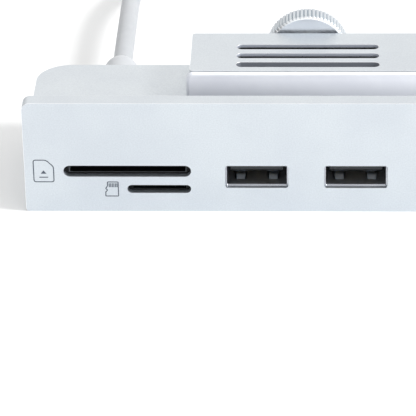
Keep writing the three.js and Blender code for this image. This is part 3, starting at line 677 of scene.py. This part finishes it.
def usb_a_shell(number, centre):
    """Folded sheet steel: a flared mouth, three walls, a floor with two windows, and a back."""
    shape = Shape()
    wall = SHELL["wall"]
    x0, x1 = centre - SHELL["half"], centre + SHELL["half"]
    z0, z1 = SHELL["bottom"], SHELL["top"]
    front, rear = SHELL["front"], SHELL["rear"]
    mouth = front + FLARE["depth"]

    def ring(y, side, low, radius):
        return [(x, y, z) for x, z in rounded_outline(x0 + side, x1 - side, z0 + low, z1 - low, radius)]

    lip = Shape()
    rings = [
        ring(front, FLARE["side"], FLARE["edge"], FLARE["mouth_corner"]),
        ring(front, 0, 0, FLARE["corner"]),
        ring(mouth, 0, 0, FLARE["corner"]),
        ring(mouth, wall, wall, FLARE["throat_corner"]),
    ]
    lip.loft(rings, closed=True)
    lip.outward()
    block(shape, x0, x0 + wall, mouth, rear, z0, z1)
    block(shape, x1 - wall, x1, mouth, rear, z0, z1)
    block(shape, x0 + wall, x1 - wall, mouth, rear, z1 - wall, z1)
    block(shape, x0 + wall, x1 - wall, rear - wall, rear, z0, z1 - wall)
    sheet_with_windows(shape, centre)
    springs = Shape()
    for hand in (-1, 1):
        middle = centre + hand * WINDOW["offset"]
        rings = []
        for y, rise in SPRING_LINE:
            half = SPRING["tip_half"] if (y, rise) == SPRING_LINE[-1] else SPRING["half"]
            low = z0 + rise
            high = low + SPRING["thickness"]
            left, right = middle - half, middle + half
            rings.append([(left, y, low), (right, y, low), (right, y, high), (left, y, high)])
        springs.loft(rings)
    shape.outward()
    springs.outward()
    name = f"usb_a_shell_{number}"
    piece(f"{name}_sheet", shape.points, shape.faces, [shell_steel], "hub", [name])
    piece(f"{name}_lip", lip.points, lip.faces, [lip_steel], "hub")
    piece(f"{name}_springs", springs.points, springs.faces, [spring_steel], "hub")


def usb_a_tongue(number, centre):
    """The contact tongue with its sloped nose, its root and four contacts under it."""
    shape = Shape()
    edge, half = TONGUE["edge"], TONGUE["half"]
    side = [
        (TONGUE["front"], TONGUE_NOSE["bottom"]),
        (TONGUE["front"], TONGUE["top"] - edge),
        (TONGUE["front"] + edge, TONGUE["top"]),
        (TONGUE["rear"], TONGUE["top"]),
        (TONGUE["rear"], TONGUE["bottom"]),
        (TONGUE_NOSE["back"] + edge, TONGUE["bottom"]),
        (TONGUE_NOSE["back"], TONGUE["bottom"] + edge / 2),
    ]
    shape.loft([[(centre + x, y, z) for y, z in side] for x in (-half, half)])
    root = TONGUE_ROOT
    block(
        shape,
        centre - root["half"],
        centre + root["half"],
        root["front"],
        TONGUE["rear"] - root["gap"],
        root["bottom"],
        root["top"],
        root["edge"],
    )
    shape.outward()
    name = f"usb_a_tongue_{number}"
    piece(f"{name}_moulding", shape.points, shape.faces, [tongue_plastic], "hub", [name])
    contacts = Shape()
    half, front, rear = CONTACT["half"], CONTACT["front"], CONTACT["rear"]
    top = TONGUE["bottom"] + CONTACT_BLADE["sunk"]
    low = TONGUE["bottom"] - CONTACT_BLADE["proud"]
    for offset in CONTACT["offsets"]:
        x = centre + offset
        block(contacts, x - half, x + half, front, rear, low, top, CONTACT_BLADE["edge"])
    contacts.outward()
    piece(f"usb_a_contacts_{number}", contacts.points, contacts.faces, [gold], "hub")


for number, centre in enumerate(USB_A_CENTRES, 1):
    usb_a_shell(number, centre)
    usb_a_tongue(number, centre)

# ---- Contacts of the other sockets ----

USB_C_ROWS = {"count": 12, "pitch": 0.5}
SOCKET_BLADE = {"half": 0.13, "thick": 0.03, "reach": 0.35, "front": 0.35, "rear": 4.2}
PLUG_BLADE = {"half": 0.12, "thick": 0.04, "reach": 0.42, "front": 0.5, "rear": 4.0}
CARD_BLADE = {"half": 0.3, "thickness": 0.12}
# A card contact's underside, as (distance behind its root, height over the socket's floor).
CARD_BLADE_LINE = ((0.0, 0.0), (1.2, 0.1), (2.2, 0.3), (2.8, 0.34), (3.2, 0.22))
CARD_ROW = {"first": -48.2, "pitch": 2.5, "count": 9, "front": -2.5, "floor": 8.72}
MICRO_CARD_ROW = {"first": -35.6, "pitch": 1.1, "count": 8, "front": -12.5, "floor": 4.68}
CARD_COVER = {"inset": 0.6, "setback": 0.4, "sunk": 0.01, "thickness": 0.18, "edge": 0.05}


def usb_c_rows(name, node, blade):
    """A row of contacts on each face of a USB-C tongue or plug, placed from the node's middle and front."""
    shape = Shape()
    low, high = (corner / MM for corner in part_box(node))
    middle = (low.x + high.x) / 2
    centre_z = (low.z + high.z) / 2
    front, rear = low.y + blade["front"], low.y + blade["rear"]
    for k in range(USB_C_ROWS["count"]):
        x = middle + (k - (USB_C_ROWS["count"] - 1) / 2) * USB_C_ROWS["pitch"]
        for hand in (-1, 1):
            z = centre_z + hand * blade["reach"]
            half, thick = blade["half"], blade["thick"]
            block(shape, x - half, x + half, front, rear, z - thick, z + thick)
    shape.outward()
    piece(name, shape.points, shape.faces, [gold], "hub")


def card_contacts(name, first, pitch, count, front, floor):
    """Spring contacts that stand out of a card socket's floor."""
    shape = Shape()
    half, thickness = CARD_BLADE["half"], CARD_BLADE["thickness"]
    for k in range(count):
        x = first + k * pitch
        rings = []
        for y, rise in CARD_BLADE_LINE:
            outline = rectangle(x - half, x + half, floor + rise, floor + rise + thickness)
            rings.append([(across, front + y, z) for across, z in outline])
        shape.loft(rings)
    shape.outward()
    piece(name, shape.points, shape.faces, [gold], "hub")


def card_socket_cover():
    """The folded steel cover over the card socket."""
    low, high = (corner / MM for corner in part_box("card_socket"))
    cover = CARD_COVER
    x0, x1 = low.x + cover["inset"], high.x - cover["inset"]
    y0, y1 = low.y + cover["setback"], high.y - cover["setback"]
    shape = Shape()
    block(shape, x0, x1, y0, y1, high.z - cover["sunk"], high.z + cover["thickness"], cover["edge"])
    shape.outward()
    piece("card_socket_cover", shape.points, shape.faces, [plate_steel], "hub")


usb_c_rows("usb_c_contacts", "usb_c_tongue", SOCKET_BLADE)
card_contacts("card_contacts", **CARD_ROW)
card_contacts("micro_card_contacts", **MICRO_CARD_ROW)
card_socket_cover()

# ---- Marks beside the card slots ----

MARK = {"depth": 0.012, "stroke": 0.22}
MARK_FACES = (PANEL_FRONT - MARK["depth"], PANEL_FRONT + MARK["depth"])
CARD_MARK = {"left": -58.0, "right": -53.75, "low": 7.12, "high": 12.33, "cut": 1.55, "corner": 0.5}
ARROW = {"half": 0.62, "low": 9.08, "high": 9.86, "shift": -0.02}
BAR = {"half": 0.95, "low": 8.12, "high": 8.34}
SMALL_MARK = {"left": -42.85, "right": -40.15, "low": 3.7, "high": 7.1, "step": 0.42, "corner": 0.16}
# The small card's stepped side, as (inset, drop from its top).
SMALL_MARK_STEPS = ((0.42, 0.95), (0.0, 1.55), (0.42, 1.95), (0.0, 2.4))
SMALL_MARK_PADS = {"count": 6, "first": 0.68, "pitch": 0.33, "width": 0.21, "top": 0.32, "bottom": 1.25}


def ribbon(shape, line):
    """A closed flat line of even width on the panel's face, through (x, z) points."""
    inner, outer = [], []
    for i, point in enumerate(line):
        here = Vector(point)
        into = (here - Vector(line[i - 1])).normalized()
        out = (Vector(line[(i + 1) % len(line)]) - here).normalized()
        mitre = Vector((-(into + out).y, (into + out).x)).normalized()
        reach = MARK["stroke"] / 2 / max(0.5, mitre.dot(Vector((-into.y, into.x))))
        inner.append(here + mitre * reach)
        outer.append(here - mitre * reach)
    y0, y1 = MARK_FACES
    rings = [[(a.x, y0, a.y), (b.x, y0, b.y), (b.x, y1, b.y), (a.x, y1, a.y)] for a, b in zip(inner, outer)]
    shape.loft(rings, closed=True)


def slab(shape, outline):
    """A flat filled mark on the panel's face."""
    shape.loft([[(x, y, z) for x, z in outline] for y in MARK_FACES])


def rounded_polygon(corners, radius, steps=4):
    """The corners as a closed line, each one rounded."""
    line = []
    for i, corner in enumerate(corners):
        here = Vector(corner)
        before = (Vector(corners[i - 1]) - here).normalized()
        after = (Vector(corners[(i + 1) % len(corners)]) - here).normalized()
        for k in range(steps + 1):
            share = k / steps
            start = here + before * radius
            stop = here + after * radius
            line.append(tuple(start * (1 - share) ** 2 + here * 2 * share * (1 - share) + stop * share**2))
    return line


def card_marks():
    """A full-size card with an arrow on it, and a small card with its contacts."""
    shape = Shape()
    x0, x1, z0, z1, cut = (CARD_MARK[key] for key in ("left", "right", "low", "high", "cut"))
    corners = [(x0, z0), (x1, z0), (x1, z1 - cut), (x1 - cut, z1), (x0, z1)]
    ribbon(shape, rounded_polygon(corners, CARD_MARK["corner"]))
    middle = (x0 + x1) / 2 + ARROW["shift"]
    half = ARROW["half"]
    slab(shape, [(middle - half, ARROW["low"]), (middle + half, ARROW["low"]), (middle, ARROW["high"])])
    slab(shape, rectangle(middle - BAR["half"], middle + BAR["half"], BAR["low"], BAR["high"]))
    left, right, low, high = (SMALL_MARK[key] for key in ("left", "right", "low", "high"))
    corners = [(left, low), (right, low), (right, high), (left + SMALL_MARK["step"], high)]
    corners += [(left + inset, high - drop) for inset, drop in SMALL_MARK_STEPS]
    ribbon(shape, rounded_polygon(corners, SMALL_MARK["corner"]))
    pads = SMALL_MARK_PADS
    for k in range(pads["count"]):
        x = left + pads["first"] + pads["pitch"] * k
        slab(shape, rectangle(x, x + pads["width"], high - pads["bottom"], high - pads["top"]))
    shape.outward()
    piece("card_marks", shape.points, shape.faces, [etched], "hub")


card_marks()

# ---- Jaw pad ----

PAD = {"corner": 1.5, "shrink": 0.6, "steps": 8, "crease": 50}
# The pad's section from its back to its face, as (depth, side inset, top inset).
PAD_SECTION = (
    (0.0, 0.0, 0.0),
    (0.25, 0.0, 0.0),
    (0.42, 0.1, 0.03),
    (0.55, 0.36, 0.13),
    (0.5, 0.42, 0.17),
    (0.52, 0.47, 0.2),
    (0.78, 0.5, 0.22),
    (0.86, 0.54, 0.26),
    (0.9, 0.62, 0.34),
)


def jaw_pad():
    """A soft pad: a rounded border, a fine groove and a raised face."""
    low, high = (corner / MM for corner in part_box("jaw_pad"))
    shape = Shape()
    rings = []
    for depth, side, top in PAD_SECTION:
        radius = PAD["corner"] - PAD["shrink"] * side
        x0, x1, z0, z1 = low.x + side, high.x - side, low.z + top, high.z - top
        outline = rounded_outline(x0, x1, z0, z1, radius, PAD["steps"])
        rings.append([(x, high.y - depth, z) for x, z in outline])
    shape.loft(rings)
    shape.outward()
    obj = piece(
        "jaw_pad_moulding",
        shape.points,
        shape.faces,
        [silicone],
        "jaw",
        ["jaw_pad"],
        crease=PAD["crease"],
    )


jaw_pad()

# ---- Thumb wheel ----

WHEEL = {"teeth": 64, "stations": 8, "rim": 9.05, "crease": 24}
# How deep the rim is cut at each station from one groove to the next.
GROOVE = (0.4, 0.2, 0.01, 0.0, 0.0, 0.0, 0.01, 0.2)
# The wheel's section, as (radius, y, which of its finishes the band up to the next point takes).
WHEEL_PROFILE = (
    (1.7, 16.6, 0),
    (3.3, 16.6, 0),
    (3.4, 16.68, 0),
    (3.4, 16.93, 0),
    (8.3, 16.93, 0),
    (8.34, 16.7, 1),
    (8.4, 16.6, 1),
    (8.55, 16.66, 1),
    (8.95, 17.04, 2),
    (9.05, 17.2, 2),
    (9.05, 20.8, 2),
    (9.0, 20.86, 2),
    (8.84, 21.0, 0),
    (6.75, 21.0, 0),
    (6.65, 20.9, 0),
    (6.65, 20.65, 0),
    (3.7, 20.65, 0),
    (3.6, 20.55, 0),
    (3.6, 19.1, 0),
    (1.7, 19.1, 0),
)


def thumb_wheel():
    """A turned wheel with a groove between each two teeth of its blasted rim, and bright edges."""
    stations = WHEEL["teeth"] * WHEEL["stations"]

    def grooved(radius, k):
        return min(radius, WHEEL["rim"] - GROOVE[k % WHEEL["stations"]])

    shape = Shape()
    profile = [(radius, y) for radius, y, _ in WHEEL_PROFILE]
    lathe(shape, profile, WHEEL_AXIS["x"], WHEEL_AXIS["z"], stations, closed=True, radius_at=grooved)
    finishes = [finish for _, _, finish in WHEEL_PROFILE for _ in range(stations)]
    piece(
        "thumb_wheel_turning",
        shape.points,
        [tuple(reversed(face)) for face in shape.faces],
        [wheel_metal, chamfer, aluminium],
        "wheel",
        ["thumb_wheel"],
        finishes,
        crease=WHEEL["crease"],
    )


thumb_wheel()

# ---- Cord, boot and plug ----

CORD_DIAMETER = 4.4
CORD_STEPS = 5
# The cord's middle line, from the boot round to the plug.
CORD_ROUTE = (
    (-42.2, 31.1, 9.3),
    (-42.2, 37.0, 9.3),
    (-42.2, 43.0, 9.25),
    (-42.2, 49.0, 9.17),
    (-42.2, 55.0, 9.07),
    (-42.2, 61.0, 8.92),
    (-42.2, 67.0, 8.52),
    (-42.1, 73.0, 7.85),
    (-41.4, 79.0, 7.05),
    (-39.7, 85.0, 6.1),
    (-36.9, 91.0, 5.1),
    (-32.9, 96.5, 4.1),
    (-27.6, 100.8, 3.25),
    (-21.3, 103.6, 2.62),
    (-14.4, 105.0, 2.32),
    (-6.0, 105.5, 2.25),
    (4.0, 105.5, 2.25),
    (13.0, 105.0, 2.25),
    (20.4, 103.2, 2.25),
    (27.0, 99.9, 2.25),
    (32.6, 95.1, 2.25),
    (36.9, 89.0, 2.25),
    (39.9, 82.0, 2.25),
    (41.5, 74.5, 2.3),
    (42.0, 67.0, 2.45),
    (42.0, 60.0, 2.75),
    (42.0, 55.0, 2.97),
    (42.0, 50.9, 3.0),
)


def smooth_route(points, steps):
    """A Catmull-Rom curve through the points, with that many steps to each span."""
    ends = [2 * points[0] - points[1], *points, 2 * points[-1] - points[-2]]
    route = []
    for i in range(1, len(ends) - 2):
        before, start, stop, after = ends[i - 1 : i + 3]
        for k in range(steps):
            t = k / steps
            straight = 2 * start + (stop - before) * t
            bend = (2 * before - 5 * start + 4 * stop - after) * t**2
            twist = (3 * start - before - 3 * stop + after) * t**3
            route.append(0.5 * (straight + bend + twist))
    route.append(points[-1])
    return route


def cord():
    """The jacket along its route, with the plug on its far end."""
    route = smooth_route([Vector(point) * MM for point in CORD_ROUTE], CORD_STEPS)
    curve = bpy.data.curves.new("cord_run", "CURVE")
    curve.dimensions = "3D"
    spline = curve.splines.new("POLY")
    spline.points.add(len(route) - 1)
    for point, place in zip(spline.points, route):
        point.co = (*place, 1)
    curve.bevel_depth = CORD_DIAMETER / 2 * MM
    curve.bevel_resolution = 8
    curve.use_fill_caps = True
    spline.use_smooth = True
    curve.materials.append(jacket)
    obj = bpy.data.objects.new("cord_run", curve)
    bpy.context.scene.collection.objects.link(obj)
    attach(obj, "hub")
    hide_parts("cord")


CORE = 0.01  # the radius to which the ends of a lathed solid close
BOOT_COLLAR = {"radius": 4.4, "edge": 0.1, "rear": 14.7}
BOOT_NECK = {"radius": 3.0, "front": 14.75, "rear": 16.35}
BOOT_BARREL = {"radius": 4.0, "edge": 0.1, "rear_radius": 3.95, "rear": 25.9}
BOOT_DOME = {"front": 26.2, "rear": 28.9, "tip": 2.4, "steps": 12}
BOOT_CUFF = {"radius": 2.36, "edge": 0.1}
BOOT_SIDES = 64


def boot():
    """The boot where the cord leaves: a collar, a neck in the housing's wall, a barrel and a dome."""
    low, high = (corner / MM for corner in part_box("strain_relief"))
    x = (low.x + high.x) / 2
    z = (low.z + high.z) / 2
    collar, neck, barrel, dome, cuff = BOOT_COLLAR, BOOT_NECK, BOOT_BARREL, BOOT_DOME, BOOT_CUFF
    profile = [
        (CORE, low.y),
        (collar["radius"] - collar["edge"], low.y),
        (collar["radius"], low.y + collar["edge"]),
        (collar["radius"], collar["rear"]),
        (neck["radius"], neck["front"]),
        (neck["radius"], neck["rear"]),
        (barrel["radius"] - barrel["edge"], neck["rear"]),
        (barrel["radius"], neck["rear"] + barrel["edge"]),
        (barrel["rear_radius"], barrel["rear"]),
    ]
    rise = barrel["rear_radius"] - dome["tip"]
    length = dome["rear"] - dome["front"]
    for k in range(dome["steps"] + 1):
        angle = math.radians(90 * k / dome["steps"])
        profile.append((dome["tip"] + rise * math.cos(angle), dome["front"] + length * math.sin(angle)))
    profile += [
        (cuff["radius"], high.y - cuff["edge"]),
        (cuff["radius"] - cuff["edge"], high.y),
        (CORE, high.y),
    ]
    shape = Shape()
    lathe(shape, profile, x, z, BOOT_SIDES)
    shape.outward()
    name = "strain_relief"
    # The boot takes the jacket painted lighter, a painted highlight.
    piece(f"{name}_moulding", shape.points, shape.faces, [sleeve], "hub", [name])


PLUG_SLEEVE = {"radius": 2.85, "front_edge": 0.15, "front_length": 0.2, "sides": 48}
PLUG_CUFF = {"radius": 2.46, "end_radius": 2.35, "length": 0.15}
PLUG_RIBS = {"count": 5, "first": 1.0, "pitch": 1.15, "radius": 2.83, "taper": 0.075}
# A groove between two ribs, as (distance along the sleeve, depth).
RIB_GROOVE = ((0.0, 0.0), (0.2, 0.22), (0.5, 0.24), (0.7, 0.02))


def plug_relief():
    """The plug's sleeve, with shallow ribs so that it can bend."""
    low, high = (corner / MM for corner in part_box("plug_relief"))
    x = (low.x + high.x) / 2
    z = (low.z + high.z) / 2
    tube, cuff, ribs = PLUG_SLEEVE, PLUG_CUFF, PLUG_RIBS
    profile = [
        (CORE, low.y),
        (tube["radius"] - tube["front_edge"], low.y),
        (tube["radius"], low.y + tube["front_length"]),
    ]
    for k in range(ribs["count"]):
        y = low.y + ribs["first"] + k * ribs["pitch"]
        radius = ribs["radius"] - ribs["taper"] * k
        profile += [(radius - depth, y + along) for along, depth in RIB_GROOVE]
    profile += [(cuff["radius"], high.y - cuff["length"]), (cuff["end_radius"], high.y), (CORE, high.y)]
    shape = Shape()
    lathe(shape, profile, x, z, tube["sides"])
    shape.outward()
    name = "plug_relief"
    # The sleeve takes the jacket painted lighter, a painted highlight.
    piece(f"{name}_moulding", shape.points, shape.faces, [sleeve], "hub", [name])


boot()
plug_relief()
usb_c_rows("plug_contacts", "plug_insert", PLUG_BLADE)
cord()

# ---- Stage, light and camera ----

FLOOR = {"reach": 30, "albedo": 0.97, "roughness": 0.8, "specular": 0.1}
KEY_LIGHT = {"place": (1.13, -0.2, 1.0), "aim": (0, 0, 0), "size": 0.4, "power": 14}
# The studio's strength, from low to high as one axis of the direction goes from start to stop.
OVERHEAD = {"axis": "Z", "start": 0.3, "stop": 1.0, "low": 1.36, "high": 0.82}
ACROSS = {"axis": "X", "start": -0.6, "stop": 0.6, "low": 1.12, "high": 0.86}
# How much of it a dark stretch takes away on the left, and how that stretch fades with height.
LEFT_SHADE = {"axis": "X", "start": -0.75, "stop": -0.25, "low": 0.9, "high": 0.0}
SHADE_HEIGHT = {"axis": "Z", "start": 0.25, "stop": 0.85, "low": 1.0, "high": 0.1}
BEHIND = {"axis": "Y", "start": 0.0, "stop": 1.0, "low": 0.0, "high": 1.0}
FRONT_TINT = (0.985, 0.995, 1.0, 1)
REAR_TINT = (1.0, 0.975, 0.945, 1)


def stage():
    """A wide white floor."""
    far = FLOOR["reach"]
    mesh = bpy.data.meshes.new("floor")
    mesh.from_pydata([(-far, -far, 0), (far, -far, 0), (far, far, 0), (-far, far, 0)], [], [(0, 1, 2, 3)])
    floor = bpy.data.objects.new("floor", mesh)
    bpy.context.scene.collection.objects.link(floor)
    finish = Finish("floor", Roughness=FLOOR["roughness"], Specular_IOR_Level=FLOOR["specular"])
    finish.shader.inputs["Base Color"].default_value = (*[FLOOR["albedo"]] * 3, 1)
    mesh.materials.append(finish.material)


def area_light(name, place, aim, size, power):
    """A round white area light."""
    data = bpy.data.lights.new(name, "AREA")
    data.shape = "DISK"
    data.size = size
    data.energy = power
    light = bpy.data.objects.new(name, data)
    bpy.context.scene.collection.objects.link(light)
    light.location = place
    light.rotation_mode = "QUATERNION"
    light.rotation_quaternion = (Vector(aim) - Vector(place)).to_track_quat("-Z", "Y")


def world():
    """A white studio, warmer behind, that darkens overhead, to the right and low down on the left."""
    studio = bpy.data.worlds.new("studio")
    bpy.context.scene.world = studio
    studio.use_nodes = True
    tree = studio.node_tree
    background = tree.nodes["Background"]
    place = tree.nodes.new("ShaderNodeTexCoord")
    split = tree.nodes.new("ShaderNodeSeparateXYZ")
    tree.links.new(place.outputs["Generated"], split.inputs["Vector"])

    def fade(axis, start, stop, low, high):
        made = tree.nodes.new("ShaderNodeMapRange")
        made.interpolation_type = "SMOOTHSTEP"
        for socket, value in (("From Min", start), ("From Max", stop), ("To Min", low), ("To Max", high)):
            made.inputs[socket].default_value = value
        tree.links.new(split.outputs[axis], made.inputs["Value"])
        return made.outputs["Result"]

    def combined(operation, first, second):
        made = tree.nodes.new("ShaderNodeMath")
        made.operation = operation
        tree.links.new(first, made.inputs[0])
        tree.links.new(second, made.inputs[1])
        return made.outputs["Value"]

    level = combined("MULTIPLY", fade(**OVERHEAD), fade(**ACROSS))
    shade = combined("MULTIPLY", fade(**LEFT_SHADE), fade(**SHADE_HEIGHT))
    strength = combined("SUBTRACT", level, combined("MULTIPLY", level, shade))
    tree.links.new(strength, background.inputs["Strength"])
    tint = tree.nodes.new("ShaderNodeMix")
    tint.data_type = "RGBA"
    front, rear = (socket for socket in tint.inputs if socket.type == "RGBA")
    front.default_value = FRONT_TINT
    rear.default_value = REAR_TINT
    tree.links.new(fade(**BEHIND), tint.inputs["Factor"])
    tree.links.new(next(s for s in tint.outputs if s.type == "RGBA"), background.inputs["Color"])


CAMERA_PLACE = (-0.000892, -0.526959, 0.285677)
CAMERA_TURN = {"yaw": -2.2959, "pitch": 29.3608, "roll": -1.0193}
CAMERA_LENS = 236.17


def camera():
    """A long lens from in front and above, turned by yaw, pitch and roll in degrees."""
    yaw, pitch, roll = (math.radians(CAMERA_TURN[key]) for key in ("yaw", "pitch", "roll"))
    forward = Vector((math.sin(yaw) * math.cos(pitch), math.cos(yaw) * math.cos(pitch), -math.sin(pitch)))
    level = forward.cross(Vector((0, 0, 1))).normalized()
    upright = level.cross(forward)
    right = math.cos(roll) * level + math.sin(roll) * upright
    up = math.cos(roll) * upright - math.sin(roll) * level
    turn = Matrix((right, up, -forward)).transposed()
    data = bpy.data.cameras.new("camera")
    data.sensor_width = 36
    data.lens = CAMERA_LENS
    data.clip_start = 0.01
    data.clip_end = 100
    made = bpy.data.objects.new("camera", data)
    bpy.context.scene.collection.objects.link(made)
    made.matrix_world = Matrix.Translation(CAMERA_PLACE) @ turn.to_4x4()
    bpy.context.scene.camera = made


stage()
world()
area_light("key", **KEY_LIGHT)
camera()
bpy.context.scene.view_settings.view_transform = "Standard"
